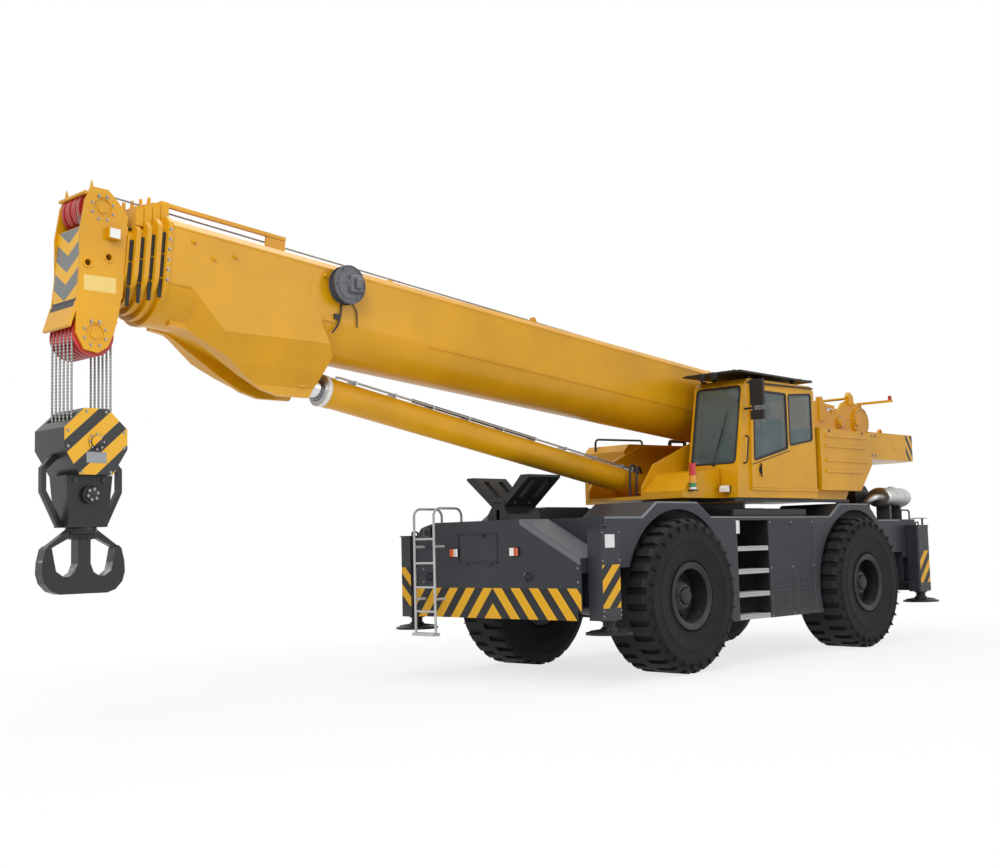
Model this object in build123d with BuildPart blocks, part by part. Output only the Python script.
from build123d import *
from math import atan2, cos, degrees, hypot, pi, radians, sin
import os

# Rough-terrain mobile crane on two axles: telescopic boom forward, cab on the left. Millimetres.
# X is forward, Y is left, Z is up. All X sizes start at the middle of the wheelbase, and the
# finished pieces are moved together so that the origin is under the middle of the whole crane.

# wheels, axles and steering
wheelbase = 4625.0
tyre_d = 2000.0
tyre_w = 770.0
wheel_out_y = 1700.0  # outer face of a tyre
bead_d = 736.0
flange_d = 876.0
rim_wall = 15.0
disc_in = 330.0  # depth of the wheel disc behind the outer face
hub_d = 430.0
lug_count = 30
lug_depth = 46.0
lug_gap = 92.0
tread_flat = 600.0
kingpin_y = 980.0
kingpin_d = 90.0
axle_d = 300.0
diff_d = 560.0
knuckle_d = 340.0
pin_fit = 0.5
steer_deg = 25.0

# carrier
frame_w = 900.0
frame_low = 1290.0
deck_z = 2035.0
rear_deck_z = 1975.0
fender_edge = 22.0
fender_cover = 100.0  # fender over the arch's crown
fender_flat = 448.0  # half the flat top of a fender
fender_run = 755.0  # half its foot, where the slope meets the deck
arch_gap = 130.0  # round a tyre
arch_sweep = 165.0  # how much longer the arch is inside the outer skin, for a steered wheel
skin = 70.0
side_y = 1490.0
side_low = 1405.0
sill_low = 595.0
nose_x = 4305.0
nose_low = 790.0
nose_plate = 12.0
chamfer_in = 550.0
chamfer_low = 1540.0
tail_low = 1440.0
frame_rear = -2950.0  # where the girder opens into two rails round the engine
rail_t = 45.0
panel_gap = 4.0
step_front = 970.0
step_rear = 170.0
step_tops = (1610.0, 1290.0, 970.0, 660.0)
step_t = 60.0
step_depth = 260.0
box_rear = -1040.0
ladder_y = (-884.0, -1270.0)
ladder_x = nose_x + 180.0
ladder_low = 550.0
ladder_d = 34.0
ladder_rungs = 5
ladder_pitch = 318.0

# outriggers
beam_w = 215.0
beam_h = 400.0
beam_z = 950.0  # underside
beam_wall = 16.0
box_wall = 10.0
beam_fit = 5.0
pad_gap = 0.3
beam_stroke = 2000.0
leg_w = 380.0
leg_d = 205.0
leg_low = 785.0
leg_top = 1870.0
leg_wall = 14.0
jack_d = 150.0
jack_stroke = 600.0
float_d = 570.0
float_t = 45.0
float_low = 612.0

# slewing deck
slew_x = -100.0
ring_d = 1560.0
table_z = 2300.0
table_t = 50.0
slew_fit = 0.5
cheek_in = 470.0
cheek_t = 40.0
cheek_front = 1780.0
cheek_rear = -3540.0

# cab
cab_in_y = 620.0
cab_out_y = 1470.0
cab_front = 870.0
cab_rear = -1260.0
cab_low = 2300.0
cab_top = 4000.0
cab_wall = 32.0
glass_t = 6.0
glass_fit = 0.3
door_t = 30.0
door_gap = 0.5
door_front = 545.0
door_rear = -470.0
door_low = 2440.0
door_top = 3905.0
door_slide = 700.0
guard_z = 4060.0
guard_t = 25.0

# hoods, counterweight and winches
hood_front = -1370.0
hood_rear = -2950.0
hood_lift = 200.0  # left hood over the fender
hood_top = 3390.0
hood_out_y = 1490.0
rib_d = 52.0
tail_x = -4740.0
tail_y = 1400.0
weight_front = -3060.0
weight_top = 3400.0
weight_bottom = 2960.0
drum_d = 420.0
drum_flange_d = 600.0
drum_w = 700.0
tail_arm_y = 1080.0

# boom
foot_x = -2800.0
foot_z = 3300.0
foot_pin_d = 160.0
boom_deg = 5.0
boom_w = 900.0
boom_top = 730.0  # above the foot pin's line
boom_low = 320.0  # below it
boom_wall = 12.0
section_gap = 30.0
pad_fit = 0.5
base_rear = -280.0
base_front = 12150.0
collar_l = 50.0
collar_pitch = 92.0
last_nose = 60.0
collar_t = 16.0
crown_l = 86.0  # housing of the top pads, on each collar
crown_y = 300.0
crown_h = 185.0
guide_rear = 10560.0  # hose guide on the top, from its post to the collar
guide_y = 200.0
section_rear = 500.0
stage_stroke = 8800.0
stages = 4

# boom head
head_x = 9790.0
head_cheek_y = 240.0
head_cheek_t = 26.0
top_sheave_x = 9863.0
top_sheave_z = 5098.0
top_sheave_d = 410.0
top_sheave_count = 3
top_sheave_pitch = 120.0
low_sheave_x = 9943.0
low_sheave_z = 3850.0
sheave_d = 432.0
groove_depth = 24.0
rope_d = 22.0
fall_pitch = 78.0
fall_count = 6
head_pin_d = 90.0
pin_recess_d = 190.0
jib_pin_d = 64.0
jib_pins = ((9800.0, 4620.0), (10020.0, 4540.0))

# lift cylinder
ram_base_x = 1190.0
ram_base_z = 2520.0
ram_eye_x = 7450.0
ram_eye_z = 3600.0
ram_bore = 290.0
ram_wall = 28.0
ram_gland = 7.0
ram_back = 150.0  # how far the rod runs in when the boom goes below its rest
ram_rod_d = 210.0
ram_eye_d = 250.0
ram_pin_d = 120.0
ram_eye_w = 270.0

# hook block: an eight-sided casing, its half widths in X at four heights
block_half = 327.0
block_top = 3123.0
block_top_half = 122.0
block_shoulder = 2930.0
block_waist = 2735.0
block_foot = 2485.0
block_foot_half = 172.0
block_sheave_z = 2800.0
block_low = 1990.0
block_cheek_y = 270.0
block_cheek_t = 30.0
block_wall = 20.0
handle_half = 420.0
handle_y = 32.0
hook_low = 1355.0
hook_half = 430.0
hook_t = 140.0
hook_neck_d = 120.0

half_base = wheelbase / 2
wheel_y = wheel_out_y - tyre_w / 2
hub_z = tyre_d / 2
arch_r = hub_z + arch_gap
fender_z = hub_z + arch_r + fender_cover
hood_low = fender_z + hood_lift
hood_foot = fender_z + 70.0
beam_pitch = beam_w + 2 * beam_fit + box_wall
far_beam_x = nose_x - nose_plate - box_wall - beam_fit - beam_w / 2
near_beam_x = far_beam_x - beam_pitch
box_low = beam_z - beam_fit - box_wall
box_high = beam_z + beam_h + beam_fit + box_wall
box_back = near_beam_x - beam_w / 2 - beam_fit - box_wall
nose_back = box_back
frame_top = deck_z
leg_y = side_y + 5.0 + leg_d / 2
beam_far_end = side_y - 110.0
boom_rad = radians(boom_deg)
ahead = Vector(cos(boom_rad), 0, sin(boom_rad))
boom_foot = Vector(foot_x, 0, foot_z)
hook_x = low_sheave_x
centre_x = (hook_x + hook_half + tail_x) / 2

corners = [  # name, side of X, side of Y
    ("front_left", 1, 1),
    ("front_right", 1, -1),
    ("rear_left", -1, 1),
    ("rear_right", -1, -1),
]


def level(z):
    return Plane.XY.offset(z)


def from_left(y):
    """The XZ plane whose sketches are extruded towards the right, from y."""
    return Plane.XZ.offset(-y)


def along(s):
    """Square to the boom at s from its foot pin: sketches in Y and in height, extruded forward."""
    return Plane(origin=boom_foot + ahead * s, x_dir=(0, 1, 0), z_dir=ahead)


def outline(plane, points):
    with BuildSketch(plane) as face:
        with BuildLine():
            Polyline(*points, close=True)
        make_face()
    return face.sketch


def side_cut(points, y_high, y_low, mode=Mode.ADD):
    """The XZ outline, from y_high down to y_low."""
    extrude(outline(from_left(y_high), points), amount=y_high - y_low, mode=mode)


def drum(x, z, y_low, y_high, d, mode=Mode.ADD):
    """A round bar along Y."""
    with BuildSketch(from_left(y_high)) as face:
        with Locations((x, z)):
            Circle(d / 2)
    extrude(face.sketch, amount=y_high - y_low, mode=mode)


def post(x, y, z_low, z_high, d, mode=Mode.ADD):
    with BuildSketch(level(z_low)) as face:
        with Locations((x, y)):
            Circle(d / 2)
    extrude(face.sketch, amount=z_high - z_low, mode=mode)


def block(x_low, x_high, y_low, y_high, z_low, z_high, mode=Mode.ADD):
    with BuildSketch(level(z_low)) as face:
        with Locations(((x_low + x_high) / 2, (y_low + y_high) / 2)):
            Rectangle(x_high - x_low, y_high - y_low)
    extrude(face.sketch, amount=z_high - z_low, mode=mode)


def stud(x_low, x_high, y, z, d, mode=Mode.ADD):
    """A round bar along X."""
    with BuildSketch(Plane.YZ.offset(x_low)) as face:
        with Locations((y, z)):
            Circle(d / 2)
    extrude(face.sketch, amount=x_high - x_low, mode=mode)


def both_sides(points, y_in, thickness, mode=Mode.ADD):
    """The XZ outline as two plates, one on each side of the middle."""
    for side in (1, -1):
        y_low, y_high = sorted((side * y_in, side * (y_in + thickness)))
        side_cut(points, y_high, y_low, mode)


def bent_rod(points, d, radius):
    """A round bar through the points, with rounded bends."""
    with BuildLine() as path:
        FilletPolyline(*points, radius=radius)
    with BuildSketch(Plane(origin=path.line @ 0, z_dir=path.line % 0)) as face:
        Circle(d / 2)
    sweep(face.sketch, path=path.line)


pieces = {}

# tyres: one section revolved, with the gaps between the shoulder lugs cut from it
lug_pitch = 360 / lug_count
with BuildPart() as tyre:
    with BuildSketch(Plane.XY) as section:
        with BuildLine():
            Polyline(
                (bead_d / 2, -tyre_w * 0.41),
                (flange_d / 2 + 6, -tyre_w * 0.41),
                (tyre_d * 0.24, -tyre_w * 0.445),
                (tyre_d * 0.35, -tyre_w / 2),
                (tyre_d * 0.43, -tyre_w / 2),
                (tyre_d * 0.478, -tyre_w * 0.455),
                (tyre_d / 2, -tread_flat / 2),
                (tyre_d / 2, tread_flat / 2),
                (tyre_d * 0.478, tyre_w * 0.455),
                (tyre_d * 0.43, tyre_w / 2),
                (tyre_d * 0.35, tyre_w / 2),
                (tyre_d * 0.24, tyre_w * 0.445),
                (flange_d / 2 + 6, tyre_w * 0.41),
                (bead_d / 2, tyre_w * 0.41),
                close=True,
            )
        make_face()
    revolve(axis=Axis.Y)
    for side in (1, -1):
        for turn in range(lug_count):
            angle = (turn + 0.25 * (1 + side)) * lug_pitch
            groove = Plane(
                origin=(0, side * tyre_w * 0.08, 0), x_dir=(cos(radians(angle)), 0, sin(radians(angle))),
                z_dir=(0, side, 0),
            )
            with BuildSketch(groove) as gap:
                with Locations((tyre_d / 2, 0)):
                    Rectangle(2 * lug_depth, lug_gap)
            extrude(gap.sketch, amount=tyre_w / 2, mode=Mode.SUBTRACT)

with BuildPart() as rim:
    with BuildSketch(Plane.XY) as section:
        with BuildLine():
            Polyline(
                (bead_d / 2 - rim_wall, -tyre_w * 0.43),
                (flange_d / 2, -tyre_w * 0.43),
                (flange_d / 2, -tyre_w * 0.41 - 0.5),
                (bead_d / 2 - 0.3, -tyre_w * 0.41 - 0.5),
                (bead_d / 2 - 0.3, tyre_w * 0.41 + 0.5),
                (flange_d / 2, tyre_w * 0.41 + 0.5),
                (flange_d / 2, tyre_w * 0.46),
                (flange_d / 2 - 25, tyre_w * 0.475),
                (bead_d / 2 - rim_wall, tyre_w * 0.44),
                (bead_d / 2 - rim_wall, tyre_w / 2 - disc_in + 40),
                (hub_d / 2 + 20, tyre_w / 2 - disc_in + 20),
                (hub_d / 2, tyre_w / 2 - disc_in + 130),
                (hub_d / 2 - 50, tyre_w / 2 - disc_in + 160),
                (0, tyre_w / 2 - disc_in + 160),
                (0, tyre_w / 2 - disc_in - 20),
                (bead_d / 2 - rim_wall, tyre_w / 2 - disc_in - 20),
                close=True,
            )
        make_face()
    revolve(axis=Axis.Y)
    with BuildSketch(from_left(tyre_w / 2 - disc_in + 60)) as nuts:
        with PolarLocations(hub_d / 2 + 62, 16):
            RegularPolygon(19, 6)
    extrude(nuts.sketch, amount=50)

# knuckles: a steering trunnion between the axle's ears, with the spindle that the wheel turns on
ear_gap = 190.0
ear_r = 95.0
ear_t = 55.0
disc_face = wheel_y + tyre_w / 2 - disc_in - 20
with BuildPart() as knuckle:
    drum(0, 0, kingpin_y + ear_r + 15, disc_face - 5.0, knuckle_d)
    post(0, kingpin_y, -ear_gap / 2 + 5, ear_gap / 2 - 5, 2 * ear_r - 10)
    block(-ear_r + 5, ear_r - 5, kingpin_y, kingpin_y + ear_r + 15, -ear_gap / 2 + 5, ear_gap / 2 - 5)
    post(0, kingpin_y, -ear_gap / 2 - ear_t, ear_gap / 2 + ear_t, kingpin_d - 2 * pin_fit)
    drum(0, 0, disc_face - 5.0, disc_face - 0.3, hub_d * 0.6)

for name, sx, sy in corners:
    turn = 0 if sy > 0 else 180
    spot = Location((sx * half_base, sy * wheel_y, hub_z)) * Rotation(0, 0, turn)
    with BuildPart() as this_tyre:
        add(tyre.part.moved(spot))
    with BuildPart() as this_rim:
        add(rim.part.moved(spot))
    with BuildPart() as this_knuckle:
        add(knuckle.part.moved(Location((sx * half_base, 0, hub_z)) * Rotation(0, 0, turn)))
    pieces[f"tyre_{name}"] = this_tyre
    pieces[f"rim_{name}"] = this_rim
    pieces[f"knuckle_{name}"] = this_knuckle

# axles: a round casing with the differential in the middle and forked ears for the kingpins
with BuildPart() as axles:
    for sx in (1, -1):
        x = sx * half_base
        drum(x, hub_z, -kingpin_y + 2 * ear_r - 10, kingpin_y - 2 * ear_r + 10, axle_d)
        with BuildSketch(Plane.XY.offset(hub_z)) as bulge:
            with BuildLine():
                Polyline(
                    (x, -diff_d * 0.62), (x + diff_d * 0.28, -diff_d * 0.6), (x + diff_d / 2, -diff_d * 0.25),
                    (x + diff_d / 2, diff_d * 0.25), (x + diff_d * 0.28, diff_d * 0.6), (x, diff_d * 0.62),
                    close=True,
                )
            make_face()
        revolve(bulge.sketch, axis=Axis((x, 0, hub_z), (0, 1, 0)))
        for sy in (1, -1):
            for sz in (1, -1):
                ear_low = ear_gap / 2 if sz > 0 else -ear_gap / 2 - ear_t
                with BuildSketch(level(hub_z + ear_low)) as ear:
                    with Locations((x, sy * (kingpin_y - ear_r))):
                        Rectangle(2 * ear_r, 2 * ear_r)
                    with Locations((x, sy * kingpin_y)):
                        Circle(ear_r)
                extrude(ear.sketch, amount=ear_t)
            block(x - ear_r, x + ear_r, min(sy * (kingpin_y - 2 * ear_r), sy * (kingpin_y - ear_r - 10)),
                  max(sy * (kingpin_y - 2 * ear_r), sy * (kingpin_y - ear_r - 10)), hub_z - ear_gap / 2,
                  hub_z + ear_gap / 2)
            post(x, sy * kingpin_y, hub_z - 151, hub_z + 151, kingpin_d, mode=Mode.SUBTRACT)
        # the pads that bolt the casing under the frame
        for sy in (1, -1):
            block(x - 130, x + 130, sy * frame_w * 0.36 - 70, sy * frame_w * 0.36 + 70,
                  hub_z + axle_d * 0.3, frame_low)
    # propeller shaft along the middle
    for sx in (1, -1):
        with BuildSketch(Plane.YZ.offset(min(0, sx * (half_base - diff_d * 0.45)))) as shaft:
            with Locations((0, hub_z)):
                Circle(55)
        extrude(shaft.sketch, amount=half_base - diff_d * 0.45)
    block(-230, 230, -220, 220, hub_z - 190, frame_low)
pieces["axles"] = axles

# carrier frame: a box girder, open under the engine, with a pair of outrigger tubes at each end
with BuildPart() as carrier_frame:
    with BuildSketch(level(frame_low)) as plan:
        Rectangle(2 * box_back, frame_w)
        with Locations(((frame_rear - box_back) / 2, 0)):
            Rectangle(frame_rear + box_back, frame_w - 2 * rail_t, mode=Mode.SUBTRACT)
    extrude(plan.sketch, amount=frame_top - frame_low)
    for sx in (1, -1):
        with BuildSketch(from_left(side_y)) as tubes:
            with Locations((sx * (box_back + nose_x - nose_plate) / 2, (box_low + box_high) / 2)):
                Rectangle(nose_x - nose_plate - box_back, box_high - box_low)
            with Locations(*[(sx * x, beam_z + beam_h / 2) for x in (near_beam_x, far_beam_x)]):
                Rectangle(beam_w + 2 * beam_fit, beam_h + 2 * beam_fit, mode=Mode.SUBTRACT)
        extrude(tubes.sketch, amount=2 * side_y)
        # wear pads in the mouth that each beam comes out of
        for x, sy in ((near_beam_x, sx), (far_beam_x, -sx)):
            y_low, y_high = sorted((sy * (side_y - 20), sy * (side_y - 180)))
            x_low, x_high = sorted((sx * (x - beam_w / 2 + 20), sx * (x + beam_w / 2 - 20)))
            block(x_low, x_high, y_low, y_high, beam_z - beam_fit, beam_z - pad_gap)
            block(x_low, x_high, y_low, y_high, beam_z + beam_h + pad_gap, beam_z + beam_h + beam_fit)
        if sx < 0:
            block(-nose_x + nose_plate, -box_back, -frame_w / 2, frame_w / 2, box_high, tail_low + 200)
            block(-box_back, -box_back + 10, -frame_w / 2, frame_w / 2, box_low, frame_low)
pieces["carrier_frame"] = carrier_frame

# outrigger beams: box tubes, two side by side at each end, each with its jack's casing
for name, sx, sy in corners:
    inner = sx * sy > 0
    x = sx * (near_beam_x if inner else far_beam_x)
    leg_x = x + (sx * 45.0 if inner else 0.0)
    y_far, y_leg = -sy * beam_far_end, sy * (leg_y - leg_d / 2)
    with BuildPart() as beam:
        with BuildSketch(from_left(max(y_far, y_leg))) as tube:
            with Locations((x, beam_z + beam_h / 2)):
                Rectangle(beam_w, beam_h)
                Rectangle(beam_w - 2 * beam_wall, beam_h - 2 * beam_wall, mode=Mode.SUBTRACT)
        extrude(tube.sketch, amount=abs(y_far - y_leg))
        with BuildSketch(level(leg_low)) as casing:
            with Locations((leg_x, sy * leg_y)):
                Rectangle(leg_w, leg_d)
        extrude(casing.sketch, amount=leg_top - leg_low)
        chamfer(beam.edges().filter_by(Axis.Z).group_by(Axis.Y)[-1 if sy > 0 else 0], 22)
        post(x, sy * leg_y, leg_low, leg_top - leg_wall, jack_d + 10, mode=Mode.SUBTRACT)
        for z in (leg_low, leg_top - leg_wall - 60):
            with BuildSketch(level(z)) as bush:
                with Locations((x, sy * leg_y)):
                    Circle(jack_d / 2 + 5)
                    Circle(jack_d / 2 + pin_fit, mode=Mode.SUBTRACT)
            extrude(bush.sketch, amount=60)
    pieces[f"outrigger_beam_{name}"] = beam
    with BuildPart() as jack:
        post(x, sy * leg_y, float_low + float_t, leg_top - leg_wall - 5, jack_d)
        with BuildSketch(Plane.XZ.offset(-sy * leg_y)) as dish:
            with BuildLine():
                Polyline(
                    (x, float_low), (x + float_d / 2, float_low), (x + float_d / 2, float_low + 18),
                    (x + float_d / 2 - 60, float_low + float_t), (x + jack_d * 0.75, float_low + float_t),
                    (x + jack_d * 0.6, float_low + float_t + 45), (x, float_low + float_t + 45), close=True,
                )
            make_face()
        revolve(dish.sketch, axis=Axis((x, sy * leg_y, 0), (0, 0, 1)))
    pieces[f"outrigger_jack_{name}"] = jack

# front body: the nose, with its left shoulder cut at a slant and its right one rounded
with BuildPart() as front_body:
    nose = [
        (-side_y, nose_low), (side_y, nose_low), (side_y, chamfer_low), (chamfer_in, deck_z),
        (-side_y + 430, deck_z), (-side_y + 170, deck_z - 60), (-side_y + 40, deck_z - 190),
        (-side_y, deck_z - 380),
    ]
    extrude(outline(Plane.YZ.offset(nose_back), nose), amount=nose_x - nose_back)
    # room for the outrigger tubes, and the open underside behind the front plate
    block(nose_back - 1, nose_x - nose_plate, -side_y - 1, side_y + 1, nose_low - 1, box_high, mode=Mode.SUBTRACT)
    block(nose_x - nose_plate - 1, nose_x + 1, side_y - 60, side_y + 1, nose_low - 1, nose_low + 120,
          mode=Mode.SUBTRACT)
    # service hatch, a shallow frame
    for y_low, y_high, z_low, z_high, depth in ((-600, 90, 1505, 1865, 6),):
        block(nose_x - depth, nose_x + 1, y_low, y_high, z_low, z_high, mode=Mode.SUBTRACT)
        block(nose_x - depth, nose_x - 1, y_low + 8, y_high - 8, z_low + 8, z_high - 8)
    stud(nose_x - 7, nose_x + 22, -150, 1840, 44)
    for y in (-470, -40):
        stud(nose_x - 1, nose_x + 16, y, 1478, 46)
pieces["front_body"] = front_body


def fender_line(x, rear_z):
    """Top line of a fender over the axle at x, from front to rear."""
    return [(x + fender_run, deck_z), (x + fender_flat, fender_z), (x - fender_flat, fender_z),
            (x - fender_run, rear_z)]


# side bodies: deck, fenders and the panels round the wheel arches
for name, sy in (("left_body", 1), ("right_body", -1)):
    y_high, y_low = (side_y, frame_w / 2) if sy > 0 else (-frame_w / 2, -side_y)
    with BuildPart() as body:
        top = [(nose_back, deck_z), *fender_line(half_base, deck_z), *fender_line(-half_base, rear_deck_z),
               (-nose_back, rear_deck_z), (-nose_back, tail_low), (-half_base, tail_low),
               (-half_base, sill_low), (half_base, sill_low), (half_base, side_low), (nose_back, side_low)]
        side_cut(top, y_high, y_low)
        rim_line = body.edges().filter_by_position(Axis.Y, sy * side_y - 1, sy * side_y + 1)
        chamfer(rim_line.filter_by_position(Axis.Z, rear_deck_z - 1, fender_z + 1), fender_edge)
        # the bay between the wheels, for the steps and the box
        block(box_rear, step_front, y_low - 1, y_high + 1, sill_low - 1, deck_z - 55, mode=Mode.SUBTRACT)
        for sx in (1, -1):
            drum(sx * half_base, hub_z, y_low - 1, y_high + 1, 2 * arch_r, mode=Mode.SUBTRACT)
            inner = (y_low - 1, y_high - skin) if sy > 0 else (y_low + skin, y_high + 1)
            with BuildSketch(from_left(inner[1])) as slot:
                with Locations((sx * half_base, hub_z)):
                    SlotCenterToCenter(2 * arch_sweep, 2 * arch_r)
            extrude(slot.sketch, amount=inner[1] - inner[0], mode=Mode.SUBTRACT)
    pieces[name] = body

# boxes in the bay behind the steps, with a louvred outer panel
with BuildPart() as side_boxes:
    for sy in (1, -1):
        y_low, y_high = (620, side_y - 6) if sy > 0 else (-side_y + 6, -620)
        block(box_rear + panel_gap, step_rear, y_low, y_high, sill_low, deck_z - 55)
        for row in range(9):
            z = sill_low + 90 + row * 52
            for column in range(5):
                x = box_rear + 190 + column * 190
                block(x, x + 150, sy * side_y - 12, sy * side_y + 12, z, z + 18, mode=Mode.SUBTRACT)
pieces["side_boxes"] = side_boxes

# steps: four treads a side between two stringers, and the front ladder with its hoops
with BuildPart() as ladders:
    for sy in (1, -1):
        y_out = sy * (side_y - 12)
        y_in = sy * (side_y - 12 - step_depth)
        y_low, y_high = min(y_out, y_in), max(y_out, y_in)
        for x in (step_rear, step_front - 14):
            block(x, x + 14, y_low, y_high, sill_low + 20, deck_z - 55)
        for z in step_tops:
            block(step_rear + 14, step_front - 14, y_low, y_high, z - step_t, z)
    # the nose ladder: two rails that run up over the deck's edge, and rungs between them
    for y in ladder_y:
        bent_rod([(ladder_x, y, ladder_low), (ladder_x, y, deck_z + 190), (nose_x - 330, y, deck_z + 190),
                  (nose_x - 330, y, deck_z - 20)], ladder_d, 110)
        for z in (ladder_low + 480, 1720):
            stud(nose_x, ladder_x, y, z, ladder_d)
    for n in range(1, ladder_rungs):
        drum(ladder_x, ladder_low + n * ladder_pitch, ladder_y[1], ladder_y[0], ladder_d * 0.8)
    block(ladder_x - 60, ladder_x + 60, ladder_y[1] - 15, ladder_y[0] + 15, ladder_low, ladder_low + 40)
    add(front_body.part, mode=Mode.SUBTRACT)
pieces["ladders"] = ladders

# rear body over the outrigger tubes and round the engine
with BuildPart() as rear_body:
    x_low, x_high = -nose_x + nose_plate, -box_back
    for sy in (1, -1):
        y_low, y_high = (frame_w / 2, side_y) if sy > 0 else (-side_y, -frame_w / 2)
        side_cut([(x_high, box_high), (x_high, rear_deck_z), (x_low, rear_deck_z), (x_low, box_high)],
                 y_high, y_low)
    block(x_low, x_high, -frame_w / 2, frame_w / 2, tail_low + 200, rear_deck_z)
    block(-nose_x, x_low, -side_y, side_y, nose_low, rear_deck_z)
    for row in range(8):
        z = tail_low + 40 + row * 52
        block(-nose_x - 1, -nose_x + 8, -380, 380, z, z + 22, mode=Mode.SUBTRACT)
pieces["rear_body"] = rear_body

# engine, one plain block between the frame rails
with BuildPart() as engine:
    block(-box_back + 12, frame_rear - 60, -370, 370, frame_low - 250, frame_top - 90)
    rail_in = frame_w / 2 - rail_t - 0.3
    block(-box_back + 12, frame_rear - 60, -rail_in, rail_in, frame_low + 120, frame_low + 190)
pieces["engine"] = engine

# slewing ring
with BuildPart() as slew_ring:
    with BuildSketch(level(frame_top)) as base:
        with Locations((slew_x, 0)):
            Circle(ring_d / 2)
            Circle(ring_d / 2 - 260, mode=Mode.SUBTRACT)
    extrude(base.sketch, amount=table_z - table_t - slew_fit - frame_top)
    with BuildSketch(level(deck_z + 55)) as waist:
        with Locations((slew_x, 0)):
            Circle(ring_d / 2 + 10)
            Circle(ring_d / 2 - 45, mode=Mode.SUBTRACT)
    extrude(waist.sketch, amount=90, mode=Mode.SUBTRACT)
pieces["slew_ring"] = slew_ring

# boom rest: two slotted arms in a V on a low foot
rest_x = 3870.0
rest_l = 600.0
rest_web = 175.0
rest_slot = 95.0
with BuildPart() as boom_rest:
    vee = [(-200, deck_z), (200, deck_z), (185, 2110), (110, 2210), (560, 2575), (560, 2605), (420, 2605),
           (0, 2190), (-420, 2605), (-560, 2605), (-560, 2575), (-110, 2210), (-185, 2110)]
    extrude(outline(Plane.YZ.offset(rest_x - rest_l / 2), vee), amount=rest_l)
    # two long slots in each arm
    for sy in (1, -1):
        for sx in (1, -1):
            x_low, x_high = sorted((rest_x + sx * rest_web / 2, rest_x + sx * (rest_web / 2 + rest_slot)))
            y_low, y_high = sorted((sy * 150, sy * 520))
            block(x_low, x_high, y_low, y_high, 2250, 2555, mode=Mode.SUBTRACT)
    block(2400, rest_x - rest_l / 2 + 1, -90, 90, deck_z, 2190)
pieces["boom_rest"] = boom_rest

# exhaust muffler and air cleaner, on saddles behind the left rear fender
with BuildPart() as stacks:
    with BuildSketch(Plane.YZ.offset(-4420)) as shell:
        with Locations((1180, 2350)):
            Ellipse(230, 165)
    extrude(shell.sketch, amount=740)
    fillet(stacks.edges().filter_by(GeomType.ELLIPSE), 40)
    for x in (-4240, -3880):
        block(x, x + 60, 1060, 1300, rear_deck_z, 2230)
pieces["muffler"] = stacks

with BuildPart() as air_cleaner:
    with BuildSketch(Plane.YZ.offset(-3850)) as shell:
        with BuildLine():
            Polyline((560, rear_deck_z), (930, rear_deck_z), (930, 2440), (860, 2560), (630, 2560), (560, 2440),
                     close=True)
        make_face()
    extrude(shell.sketch, amount=470)
pieces["air_cleaner"] = air_cleaner

# lamps at the nose and the tail
with BuildPart() as carrier_lamps:
    for y in (410, -680):
        block(nose_x, nose_x + 22, y - 75, y + 75, 1580, 1680)
    block(nose_x, nose_x + 28, -1270, -1110, 1850, 1975)
    for y in (1180, -1180):
        block(-nose_x - 22, -nose_x, y - 90, y + 90, 1560, 1660)
pieces["carrier_lamps"] = carrier_lamps

# slewing deck: base plate and the two cheeks that hold the boom's foot and the lift cylinder
cheek = [
    (cheek_front, table_z), (cheek_front, table_z + 170), (1500, 2800), (560, 3150), (-1200, 3215),
    (-2450, 3620), (-2950, 3990), (-3180, 4010), (-3360, 3830), (cheek_rear, 3760), (cheek_rear, 2720),
    (-3100, table_z),
]
with BuildPart() as turntable:
    block(-3100, cheek_front, -cheek_in, cheek_in, table_z, table_z + table_t)
    post(slew_x, 0, table_z - table_t, table_z, ring_d)
    for sy in (1, -1):
        y_high, y_low = (cheek_in + cheek_t, cheek_in) if sy > 0 else (-cheek_in, -cheek_in - cheek_t)
        side_cut(cheek, y_high, y_low)
    drum(foot_x, foot_z, -cheek_in - 1, cheek_in + 1, foot_pin_d)
    drum(ram_base_x, ram_base_z, -cheek_in - 1, cheek_in + 1, ram_pin_d)
    both_sides([(-3040, 3660), (-3040, 4060), (-3120, 4070), (-3210, 3980), (-3210, 3660)], cheek_in, cheek_t + 25)
    both_sides([(-3130, 3905), (-3130, 3965), (-3530, 3935), (-3530, 3880)], cheek_in + cheek_t - 1, 26)
    # sloped cover in front of the cab, and the floor under the cab and hoods
    side_cut([(cab_front + panel_gap, table_z), (cheek_front, table_z), (cheek_front, 2400), (1420, 2660),
              (cab_front + panel_gap, 2720)], 1180, cheek_in + cheek_t)
pieces["turntable"] = turntable

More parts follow.
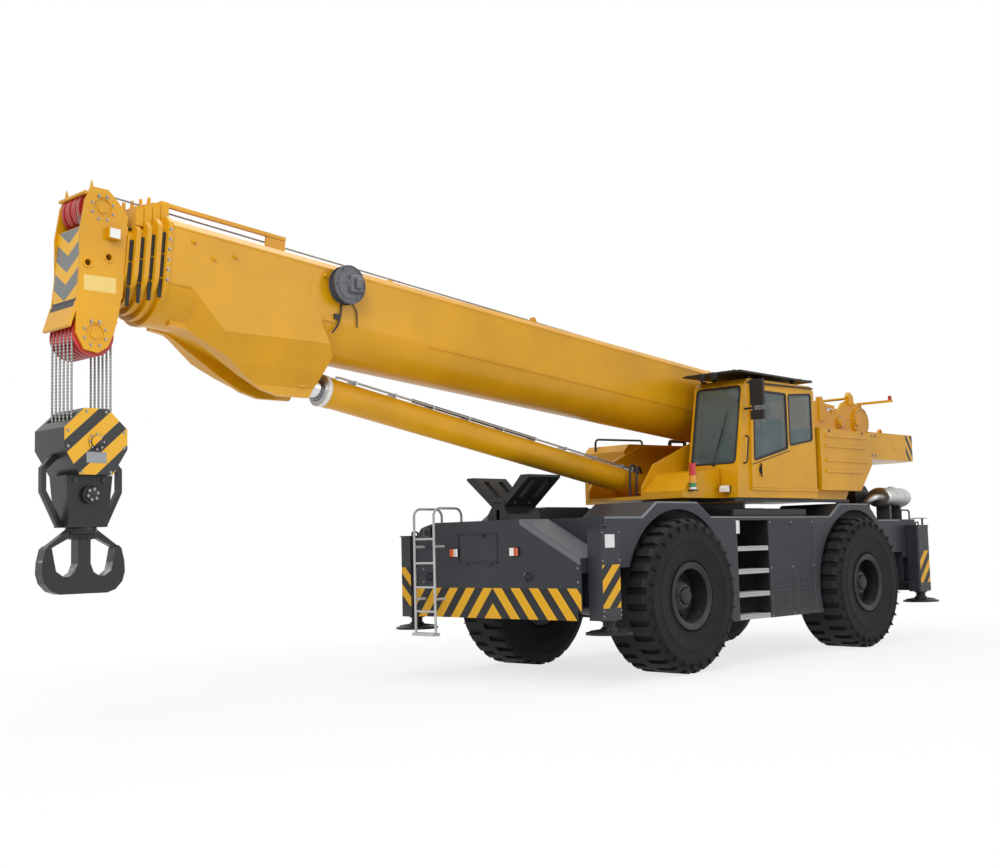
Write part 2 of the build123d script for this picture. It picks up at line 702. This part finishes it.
# cab shell, hollow, with its windows and doorway cut
cab_side = [(cab_front, cab_low), (cab_front - 25, 2740), (cab_front - 255, cab_top - 80),
            (cab_front - 350, cab_top), (cab_rear + 90, cab_top), (cab_rear, cab_top - 80), (cab_rear, cab_low)]
slope = atan2(235, cab_top - 80 - 2740)
rear_window = [(-540, 3080), (-540, 3830), (-1170, 3880), (-1170, 3180)]
right_window = [(640, 2800), (470, 3830), (-1100, 3830), (-1100, 3000), (-300, 2800)]
with BuildPart() as cab_shell:
    side_cut(cab_side, cab_out_y, cab_in_y)
    with BuildSketch(from_left(cab_out_y - cab_wall)) as room:
        with BuildLine():
            Polyline(*cab_side, close=True)
        make_face()
        offset(amount=-cab_wall, kind=Kind.INTERSECTION)
    extrude(room.sketch, amount=cab_out_y - cab_in_y - 2 * cab_wall, mode=Mode.SUBTRACT)
    # doorway, rear side window, right windows
    side_cut([(490, 2500), (490, 2900), (430, 3840), (door_rear + 60, 3840), (door_rear + 60, 2500)],
             cab_out_y + 1, cab_out_y - cab_wall - 1, mode=Mode.SUBTRACT)
    side_cut(rear_window, cab_out_y + 1, cab_out_y - cab_wall - 1, mode=Mode.SUBTRACT)
    side_cut(right_window, cab_in_y + cab_wall + 1, cab_in_y - 1, mode=Mode.SUBTRACT)
    # windscreen and rear window
    for x, z_low, z_high in ((cab_front - 140, 2790, cab_top - 110), (cab_rear, 3150, cab_top - 130)):
        with BuildSketch(Plane.YZ.offset(x - 180)) as pane:
            with Locations(((cab_in_y + cab_out_y) / 2, (z_low + z_high) / 2)):
                RectangleRounded(cab_out_y - cab_in_y - 110, z_high - z_low, 50)
        extrude(pane.sketch, amount=360, mode=Mode.SUBTRACT)
    # the door's running rail
    block(cab_rear + 20, door_front, cab_out_y, cab_out_y + door_t, door_low - 36, door_low - 3)
pieces["cab_shell"] = cab_shell

# the cab's fixed panes, each set in its opening
with BuildPart() as cab_glass:
    pane_plane = Plane(origin=(cab_front - 25 - cab_wall * 0.6, 0, 2740), x_dir=(0, 1, 0),
                       z_dir=(cos(slope), 0, sin(slope)))
    with BuildSketch(pane_plane) as windscreen:
        with Locations(((cab_in_y + cab_out_y) / 2, (cab_top - 80 - 2740) / 2 / cos(slope) + 8)):
            RectangleRounded(cab_out_y - cab_in_y - 111, (cab_top - 110 - 2790) / cos(slope) - 28, 50)
    extrude(windscreen.sketch, amount=glass_t)
    for edge, y in ((rear_window, cab_out_y - 8), (right_window, cab_in_y + 8 + glass_t)):
        with BuildSketch(from_left(y)) as pane:
            with BuildLine():
                Polyline(*edge, close=True)
            make_face()
            offset(amount=-glass_fit, kind=Kind.INTERSECTION)
        extrude(pane.sketch, amount=glass_t)
    with BuildSketch(Plane.YZ.offset(cab_rear + 8)) as rear_pane:
        with Locations(((cab_in_y + cab_out_y) / 2, (3150 + cab_top - 130) / 2)):
            RectangleRounded(cab_out_y - cab_in_y - 110.6, cab_top - 130 - 3150 - 0.6, 50)
    extrude(rear_pane.sketch, amount=glass_t)
pieces["cab_glass"] = cab_glass

# seat, armrest consoles, pedals' floor and dash
with BuildPart() as cab_interior:
    mid = (cab_in_y + cab_out_y) / 2
    floor = cab_low + cab_wall
    block(-700, -100, mid - 210, mid + 210, floor, floor + 330)
    side_cut([(-740, floor + 330), (-120, floor + 330), (-100, floor + 470), (-560, floor + 450),
              (-760, floor + 1130), (-880, floor + 1130)], mid + 250, mid - 250)
    for y in (mid - 345, mid + 265):
        side_cut([(-560, floor + 520), (-560, floor + 330), (-30, floor + 330), (10, floor + 520),
                  (-20, floor + 640), (-110, floor + 640), (-130, floor + 570)], y + 80, y)
    block(-560, -120, mid - 300, mid + 300, floor + 300, floor + 330)
    side_cut([(560, floor), (720, floor), (700, floor + 560), (600, floor + 640), (480, floor + 600)], mid + 330,
             mid - 330)
pieces["cab_interior"] = cab_interior

with BuildPart() as roof_guard:
    with BuildSketch(level(guard_z)) as plate:
        with BuildLine():
            Polyline((880, 610), (870, 1590), (-1240, 1480), (-1240, 640), close=True)
        make_face()
    extrude(plate.sketch, amount=guard_t)
    for x in (300, -900):
        for y in (760, 1330):
            block(x - 25, x + 25, y - 25, y + 25, cab_top, guard_z)
pieces["roof_guard"] = roof_guard

# sliding door and its pane
door_y = cab_out_y + door_gap
door_line = [(door_front, door_low), (door_front, 2800), (door_front - 60, door_top), (door_rear, door_top),
             (door_rear, door_low)]
door_pane = [(470, 2830), (415, 3830), (-420, 3830), (-420, 3030)]
with BuildPart() as door:
    side_cut(door_line, door_y + door_t, door_y)
    side_cut(door_pane, door_y + door_t + 1, door_y - 1, mode=Mode.SUBTRACT)
    block(288, 328, door_y + door_t, door_y + door_t + 34, 2600, 2790)
pieces["door"] = door
with BuildPart() as door_glass:
    with BuildSketch(from_left(door_y + door_t / 2 + glass_t)) as pane:
        with BuildLine():
            Polyline(*door_pane, close=True)
        make_face()
        offset(amount=-glass_fit, kind=Kind.INTERSECTION)
    extrude(pane.sketch, amount=glass_t)
pieces["door_glass"] = door_glass

# left hood with its four long ribs
with BuildPart() as left_hood:
    side_cut([(hood_front, hood_low), (hood_front, hood_top), (hood_rear + 30, hood_top - 30),
              (hood_rear, hood_top - 60), (hood_rear, 2850), (-2560, hood_low)], hood_out_y, cheek_in + cheek_t)
    for z in (3270, 3110, 2890, 2720):
        with BuildSketch(Plane.YZ.offset(hood_rear + (190 if z > 2800 else 330))) as bead:
            with Locations((hood_out_y, z)):
                Circle(rib_d / 2)
        extrude(bead.sketch, amount=hood_front - hood_rear - (330 if z > 2800 else 470))
    side_cut([(hood_front, hood_low), (hood_front, hood_foot), (-2400, hood_foot), (-2500, hood_low)],
             1300, cheek_in + cheek_t)
pieces["left_hood"] = left_hood

with BuildPart() as right_hood:
    side_cut([(900, table_z), (900, 3080), (780, 3190), (-1600, 3230), (-2700, 3330), (-2900, 3200),
              (-2900, 2700), (-2500, table_z)], -cheek_in - cheek_t, -1300)
pieces["right_hood"] = right_hood

# counterweight, hung round the rear of the cheeks
with BuildPart() as counterweight:
    with BuildSketch(level(weight_bottom)) as plan:
        with BuildLine():
            Polyline(
                (weight_front, tail_y), (tail_x + 200, tail_y), (tail_x, tail_y - 260), (tail_x, -tail_y + 260),
                (tail_x + 200, -tail_y), (weight_front, -tail_y), (weight_front, -cheek_in - cheek_t),
                (cheek_rear, -cheek_in - cheek_t), (cheek_rear, cheek_in + cheek_t),
                (weight_front, cheek_in + cheek_t), close=True,
            )
        make_face()
    extrude(plan.sketch, amount=weight_top - weight_bottom)
    # pocket for the boom's rear end, which swings down into it as the boom goes up
    block(foot_x - hypot(base_rear, boom_top) - 25, cheek_rear + 1, -boom_w / 2 - 8, boom_w / 2 + 8,
          weight_bottom - 1, weight_top + 1, mode=Mode.SUBTRACT)
pieces["counterweight"] = counterweight

# winches: two drums between side plates on the counterweight
winch_side = [(cheek_rear, weight_top), (cheek_rear, 3880), (-3760, 3860), (-3900, 4010), (-4160, 4090),
              (-4480, 3990), (-4640, 3760), (-4660, weight_top)]
with BuildPart() as winches:
    for sy in (1, -1):
        y_high, y_low = (cheek_in, cheek_in - 40) if sy > 0 else (-cheek_in + 40, -cheek_in)
        side_cut(winch_side, y_high, y_low)
    for x, z in ((-3790, 3660), (-4330, 3700)):
        drum(x, z, -cheek_in + 40, cheek_in - 40, drum_d)
        for y in (-cheek_in + 48, cheek_in - 78):
            drum(x, z, y, y + 30, drum_flange_d - 100)
    # rear drum's flange outside the plate, the tie bar and the tail arm with its lamp
    drum(-4480, 3700, cheek_in, cheek_in + 40, 520)
    for sy in (1, -1):
        y_low, y_high = sorted((sy * (cheek_in - 40), sy * (cheek_in + 40)))
        side_cut([(-4090, 3990), (-4070, 4140), (-4120, 4210), (-4230, 4140), (-4240, 4020)], y_high, y_low)
    drum(-4160, 4110, -cheek_in - 40, cheek_in + 40, 46)
    block(-4560, -4500, cheek_in - 40, tail_arm_y, 4010, 4050)
    side_cut([(-4480, 3900), (-4480, 4050), (-4570, 4050), (-4600, 3900)], cheek_in, cheek_in - 40)
    post(-4530, tail_arm_y - 40, 4049, 4120, 62)
pieces["winches"] = winches

# mirror, tri-colour signal lamp, work lamps and the tail arm's lamp
with BuildPart() as signal_lamps:
    block(1570, 1650, 1180, 1290, 2385, 2410)
    post(1610, 1240, 2410, 2770, 92)
    side_cut([(866, 2380), (861, 2470), (960, 2470), (990, 2440), (990, 2380)], 1350, 1240)
pieces["signal_lamps"] = signal_lamps

with BuildPart() as mirrors:
    for z_low, z_high in ((3590, 3960), (3390, 3520)):
        block(590, 640, 1575, 1790, z_low, z_high)
    block(602, 628, 1600, 1626, 3519, 3591)
    block(602, 628, cab_out_y, 1610, 3540, 3570)
pieces["mirrors"] = mirrors


# boom sections: tubes with a flat top and a round belly, each sliding in the one behind
def hull(plane, inset):
    """The boom's outline, smaller all round by inset."""
    half = boom_w / 2 - inset
    high, low = boom_top - inset, -boom_low + inset
    with BuildSketch(plane) as face:
        with BuildLine():
            Line((-half, low + half), (-half, high - 70))
            Line((-half, high - 70), (-half + 70, high))
            Line((-half + 70, high), (half - 70, high))
            Line((half - 70, high), (half, high - 70))
            Line((half, high - 70), (half, low + half))
            ThreePointArc((half, low + half), (0, low), (-half, low + half))
        make_face()
    return face.sketch


def crown(s_front, inset):
    """Housing of the top pads, standing on a collar."""
    low, high = boom_top - inset + 2, boom_top - inset + collar_t + crown_h
    with BuildSketch(along(s_front - crown_l)) as face:
        with BuildLine():
            Polyline((-crown_y, low), (crown_y, low), (crown_y - 20, high), (-crown_y + 20, high), close=True)
        make_face()
    extrude(face.sketch, amount=crown_l)
    with BuildSketch(along(s_front - 30)) as fin:
        with BuildLine():
            Polyline((-20, high - 1), (20, high - 1), (8, high + 95), (-8, high + 95), close=True)
        make_face()
    extrude(fin.sketch, amount=30)


def beam_on_top(s_rear, s_front, y, width, low, high):
    with BuildSketch(along(s_rear)) as face:
        with Locations((y, (low + high) / 2)):
            Rectangle(width, high - low)
    extrude(face.sketch, amount=s_front - s_rear)


section_step = boom_wall + section_gap
stage_table = [  # name, inset of its outline, front end of the tube
    (f"boom_section_{n + 2}", (n + 1) * section_step, base_front + (n + 1) * collar_pitch + (last_nose - collar_pitch) * (n == stages - 1))
    for n in range(stages)
]
bracket_side = [(8990, 4411), (9100, 4180), (9100, 4031), (8900, 4000), (8256, 3600), (7980, 3460), (7760, 3400),
                (7340, 3400), (7270, 3520), (7150, 3850), (7330, 4200), (7354, 4464)]
bracket_front = [(9100, 4180), (9100, 4050), (8900, 4015), (8040, 3660), (8010, 3690), (8880, 4060), (9060, 4180)]
bracket_half = boom_w / 2 + 4.0
slot_half = ram_eye_w / 2 + 15.0
pin_seat = slot_half + 62.0
doubler_t = 6.0
with BuildPart() as boom_base:
    # bracket for the lift cylinder: its side outline, narrowed towards the pin and towards the front
    side_cut(bracket_side, bracket_half, -bracket_half)
    with BuildSketch(Plane.YZ.offset(6800)) as narrowed:
        with BuildLine():
            Polyline((-bracket_half, 4500), (bracket_half, 4500), (bracket_half, 3990), (330, 3700), (pin_seat, 3500),
                     (pin_seat, 3300), (-pin_seat, 3300), (-pin_seat, 3500), (-330, 3700), (-bracket_half, 3990),
                     close=True)
        make_face()
    extrude(narrowed.sketch, amount=2500, mode=Mode.INTERSECT)
    with BuildSketch(level(3924)) as plan:
        with BuildLine():
            Polyline((5000, bracket_half), (8529, bracket_half), (8800, 240), (9400, 190), (9400, -190), (8800, -240),
                     (8529, -bracket_half), (5000, -bracket_half), close=True)
        make_face()
    extrude(plan.sketch, amount=1500, dir=(461, 0, 487), both=True, mode=Mode.INTERSECT)
    side_cut([(6900, 3200), (9300, 3200), (9300, 4300), (6900, 4300)], slot_half, -slot_half, mode=Mode.SUBTRACT)
    side_cut(bracket_front, slot_half + 1, -slot_half - 1)
    for side in (1, -1):
        y_low, y_high = sorted((side * (pin_seat - 1), side * (pin_seat + 22)))
        drum(ram_eye_x, ram_eye_z, y_low, y_high, ram_pin_d * 1.5)
    both_sides([(7362, 4440), (7321, 4760), (7440, 4760), (7500, 4440)], boom_w / 2 - 2, doubler_t)
    extrude(hull(along(base_rear), 0), amount=base_front - base_rear)
    extrude(hull(along(base_front - collar_l), -collar_t), amount=collar_l)
    crown(base_front, 0)
    beam_on_top(guide_rear, base_front - crown_l + 1, guide_y, 50, boom_top + 175, boom_top + 215)
    beam_on_top(guide_rear, guide_rear + 250, guide_y, 30, boom_top - 2, boom_top + 200)
    # foot bosses round the pin
    for y_low in (-cheek_in + 6, cheek_in - 66):
        drum(foot_x, foot_z, y_low, y_low + 60, foot_pin_d * 2.2)
    extrude(hull(along(base_rear - 1), boom_wall), amount=base_front - base_rear - collar_l + 1, mode=Mode.SUBTRACT)
    extrude(hull(along(base_front - collar_l - 1), section_step - pad_fit), amount=collar_l + 2, mode=Mode.SUBTRACT)
    drum(foot_x, foot_z, -cheek_in, cheek_in, foot_pin_d + 2 * pin_fit, mode=Mode.SUBTRACT)
pieces["boom_base"] = boom_base
for n, (name, inset, front) in enumerate(stage_table):
    with BuildPart() as stage:
        extrude(hull(along(section_rear), inset), amount=front - section_rear)
        if n < stages - 1:
            extrude(hull(along(front - collar_l), inset - collar_t), amount=collar_l)
            crown(front, inset)
        extrude(hull(along(section_rear - 1), inset + boom_wall), amount=front - section_rear - collar_l + 1,
                mode=Mode.SUBTRACT)
        bore = inset + section_step - pad_fit if n < stages - 1 else inset + boom_wall
        extrude(hull(along(front - collar_l - 1), bore), amount=collar_l + 2, mode=Mode.SUBTRACT)
    pieces[name] = stage

# boom head: two cheeks past the last section, with the sheaves between them
nose_s = stage_table[-1][2]
nose_point = boom_foot + ahead * nose_s
head_side = [(head_x - 130, 4240), (head_x - 95, 4050), (head_x - 54, 3890), (head_x + 15, 3735),
             (head_x + 119, 3665), (head_x + 262, 3690), (head_x + 349, 3846), (head_x + 346, 4131),
             (head_x + 310, 4436), (head_x + 311, 4845), (head_x + 256, 5160), (head_x + 196, 5300),
             (head_x + 186, 5362), (head_x + 170, 5300), (head_x + 10, 5294), (head_x - 101, 5186),
             (head_x - 202, 5055), (head_x - 190, 4965), (head_x - 178, 4860)]
with BuildPart() as boom_head:
    both_sides(head_side, head_cheek_y, head_cheek_t)
    # the striped front plate, and the lip under it
    side_cut([(head_x + 250, 4905), (head_x + 275, 4905), (head_x + 340, 4150), (head_x + 312, 4150)],
             head_cheek_y + 1, -head_cheek_y - 1)
    side_cut([(head_x + 318, 4150), (head_x + 350, 4150), (head_x + 428, 3908), (head_x + 404, 3895)],
             head_cheek_y + head_cheek_t, -head_cheek_y - head_cheek_t)
    with BuildSketch(along(nose_s)) as flange:
        with Locations((0, (boom_top - boom_low) / 2)):
            Rectangle(2 * (head_cheek_y + head_cheek_t), boom_top + boom_low - 2 * stages * section_step + 20)
    extrude(flange.sketch, amount=35)
    for x, z in jib_pins:
        drum(x, z, -head_cheek_y - head_cheek_t - 1, head_cheek_y + head_cheek_t + 1, jib_pin_d, mode=Mode.SUBTRACT)
    # the sheaves' pins, in round recesses of the cheeks
    for x, z in ((low_sheave_x, low_sheave_z), (top_sheave_x, top_sheave_z)):
        for side in (1, -1):
            y_low, y_high = sorted((side * (head_cheek_y + head_cheek_t / 2), side * (head_cheek_y + head_cheek_t + 1)))
            drum(x, z, y_low, y_high, pin_recess_d, mode=Mode.SUBTRACT)
        drum(x, z, -head_cheek_y - head_cheek_t, head_cheek_y + head_cheek_t, head_pin_d)
pieces["boom_head"] = boom_head


def sheave_stack(x, z, count, pitch, d, bore):
    """Grooved rope sheaves side by side on one hub, turning about Y."""
    rim_r, root = d / 2, d / 2 - groove_depth
    half = count * pitch / 2
    profile = [(bore / 2, -half), (rim_r, -half)]
    for n in range(count):
        y = (n - (count - 1) / 2) * pitch
        profile += [(rim_r, y - rope_d * 0.75), (root, y - rope_d * 0.6), (root, y + rope_d * 0.6),
                    (rim_r, y + rope_d * 0.75)]
    profile += [(rim_r, half), (bore / 2, half)]
    with BuildSketch(Plane(origin=(x, 0, z), x_dir=(1, 0, 0), z_dir=(0, 0, 1))) as face:
        with BuildLine():
            Polyline(*profile, close=True)
        make_face()
    revolve(face.sketch, axis=Axis((x, 0, z), (0, 1, 0)))


with BuildPart() as head_sheaves:
    sheave_stack(low_sheave_x, low_sheave_z, fall_count, fall_pitch, sheave_d, head_pin_d + 2 * pin_fit)
    sheave_stack(top_sheave_x, top_sheave_z, top_sheave_count, top_sheave_pitch, top_sheave_d,
                 head_pin_d + 2 * pin_fit)
pieces["head_sheaves"] = head_sheaves

# lift cylinder
ram_run = hypot(ram_eye_x - ram_base_x, ram_eye_z - ram_base_z)
ram_rad = atan2(ram_eye_z - ram_base_z, ram_eye_x - ram_base_x)
ram_ahead = Vector(cos(ram_rad), 0, sin(ram_rad))
ram_base = Vector(ram_base_x, 0, ram_base_z)


def ram_plane(s):
    return Plane(origin=ram_base + ram_ahead * s, x_dir=(0, 1, 0), z_dir=ram_ahead)


barrel_end = ram_run - 270 - ram_back
with BuildPart() as ram_barrel:
    with BuildSketch(ram_plane(170)) as tube:
        Circle(ram_bore / 2 + ram_wall)
    extrude(tube.sketch, amount=barrel_end - 170)
    with BuildSketch(ram_plane(barrel_end - 160)) as gland:
        Circle(ram_bore / 2 + ram_wall + ram_gland)
    extrude(gland.sketch, amount=160)
    with BuildSketch(ram_plane(260)) as bore:
        Circle(ram_bore / 2)
    extrude(bore.sketch, amount=barrel_end - 260 - 120, mode=Mode.SUBTRACT)
    with BuildSketch(ram_plane(barrel_end - 200)) as throat:
        Circle(ram_rod_d / 2 + pin_fit)
    extrude(throat.sketch, amount=300, mode=Mode.SUBTRACT)
    with BuildSketch(ram_plane(60)) as shank:
        Rectangle(ram_eye_w, ram_bore)
    extrude(shank.sketch, amount=130)
    drum(ram_base_x, ram_base_z, -ram_eye_w / 2, ram_eye_w / 2, ram_eye_d)
    drum(ram_base_x, ram_base_z, -ram_eye_w, ram_eye_w, ram_pin_d + 2 * pin_fit, mode=Mode.SUBTRACT)
pieces["lift_cylinder_barrel"] = ram_barrel
with BuildPart() as ram_rod:
    with BuildSketch(Plane(origin=ram_base, x_dir=ram_ahead, z_dir=(0, -1, 0))) as section:
        with BuildLine():
            Polyline(
                (270 + ram_back, 0), (270 + ram_back, ram_bore / 2 - pin_fit),
                (490 + ram_back, ram_bore / 2 - pin_fit), (490 + ram_back, ram_rod_d / 2),
                (ram_run - 250, ram_rod_d / 2), (ram_run - 240, ram_rod_d / 2 + 8),
                (ram_run - 70, ram_rod_d / 2 + 8), (ram_run - 70, 0), close=True,
            )
        make_face()
    revolve(section.sketch, axis=Axis(tuple(ram_base), tuple(ram_ahead)))
    drum(ram_eye_x, ram_eye_z, -ram_eye_w / 2, ram_eye_w / 2, ram_eye_d * 0.96)
    drum(ram_eye_x, ram_eye_z, -ram_eye_w, ram_eye_w, ram_pin_d, mode=Mode.SUBTRACT)
pieces["lift_cylinder_rod"] = ram_rod

# hoist rope falls between the head's sheaves and the block's
fall_r = sheave_d / 2 - groove_depth + rope_d / 2 + 0.3
with BuildPart() as rope_falls:
    for side in (1, -1):
        for n in range(fall_count):
            y = (n - (fall_count - 1) / 2) * fall_pitch
            post(low_sheave_x + side * fall_r, y, block_sheave_z, low_sheave_z, rope_d)
pieces["rope_falls"] = rope_falls

# hook block: an eight-sided casing round the sheaves, a tapering body and two side handles
def octagon(inset):
    foot = block_foot_half - 0.6 * inset
    top = block_top_half - 0.2 * inset
    half = block_half - inset
    right = [(foot, block_foot + inset), (half, block_waist), (half, block_shoulder), (top, block_top - inset)]
    return [(hook_x + x, z) for x, z in right] + [(hook_x - x, z) for x, z in reversed(right)]


with BuildPart() as hook_block:
    side_cut(octagon(0), block_cheek_y + block_cheek_t, -block_cheek_y - block_cheek_t)
    side_cut(octagon(block_wall), block_cheek_y, -block_cheek_y, mode=Mode.SUBTRACT)
    fall_y = fall_count * fall_pitch / 2
    for side in (1, -1):
        x_low, x_high = sorted((hook_x + side * (fall_r - 42), hook_x + side * (fall_r + 42)))
        block(x_low, x_high, -fall_y, fall_y, block_shoulder, block_top + 1, mode=Mode.SUBTRACT)
    sheave_stack(hook_x, block_sheave_z, fall_count, fall_pitch, sheave_d, 80)
    drum(hook_x, block_sheave_z, -block_cheek_y - 1, block_cheek_y + 1, 80)
    drum(hook_x, 2300, -200, 200, 150)
    with BuildSketch(level(block_low)) as low:
        with Locations((hook_x, 0)):
            Rectangle(400, 300)
    with BuildSketch(level(block_foot + 1)) as high:
        with Locations((hook_x, 0)):
            Rectangle(480, 340)
    loft(sections=[low.sketch, high.sketch])
    for side in (1, -1):
        side_cut([(hook_x + side * x, z) for x, z in (
            (295, 2700), (handle_half, 2560), (handle_half, 2330), (255, block_low + 2), (185, block_low + 2),
            (handle_half - 50, 2345), (handle_half - 50, 2540), (255, 2650))], handle_y, -handle_y)
    post(hook_x, 0, block_low - 1, block_low + 170, hook_neck_d + 2 * pin_fit, mode=Mode.SUBTRACT)
pieces["hook_block"] = hook_block

# ramshorn hook: a neck that swivels in the block, two horns, and a latch over each throat
horn = [(0, 1870), (66, 1870), (66, 1640), (98, 1560), (157, 1522), (214, 1522), (286, 1575), (302, 1650), (330, 1795),
        (362, 1815), (394, 1785), (424, 1660), (hook_half, 1554), (402, 1460), (330, 1385), (240, hook_low), (0, hook_low)]
latch = [(0, block_low - 20), (145, block_low - 20), (372, 1806), (348, 1780), (150, 1885), (66, 1868), (0, 1868)]
with BuildPart() as hook:
    post(hook_x, 0, 1760, block_low + 165, hook_neck_d)
    post(hook_x, 0, block_low - 60, block_low - 0.5, 290)
    for side in (1, -1):
        side_cut([(hook_x + side * x, z) for x, z in horn], hook_t / 2, -hook_t / 2)
        side_cut([(hook_x + side * x, z) for x, z in latch], hook_t * 0.3, -hook_t * 0.3)
pieces["hook"] = hook

# cable reel on the boom's left side
with BuildPart() as cable_reel:
    reel = Vector(foot_x, 0, foot_z) + ahead * 9920 + Vector(-sin(boom_rad), 0, cos(boom_rad)) * 492
    drum(reel.X, reel.Z, boom_w / 2, boom_w / 2 + 150, 330)
    drum(reel.X, reel.Z, boom_w / 2 + 30, boom_w / 2 + 50, 430)
    drum(reel.X, reel.Z, boom_w / 2 + 120, boom_w / 2 + 140, 430)
pieces["cable_reel"] = cable_reel

for name, piece in pieces.items():
    piece.part.move(Location((-centre_x, 0, 0)))
os.makedirs("parts", exist_ok=True)
for name, piece in pieces.items():
    piece.part.label = name
    export_step(piece.part, f"parts/{name}.step")
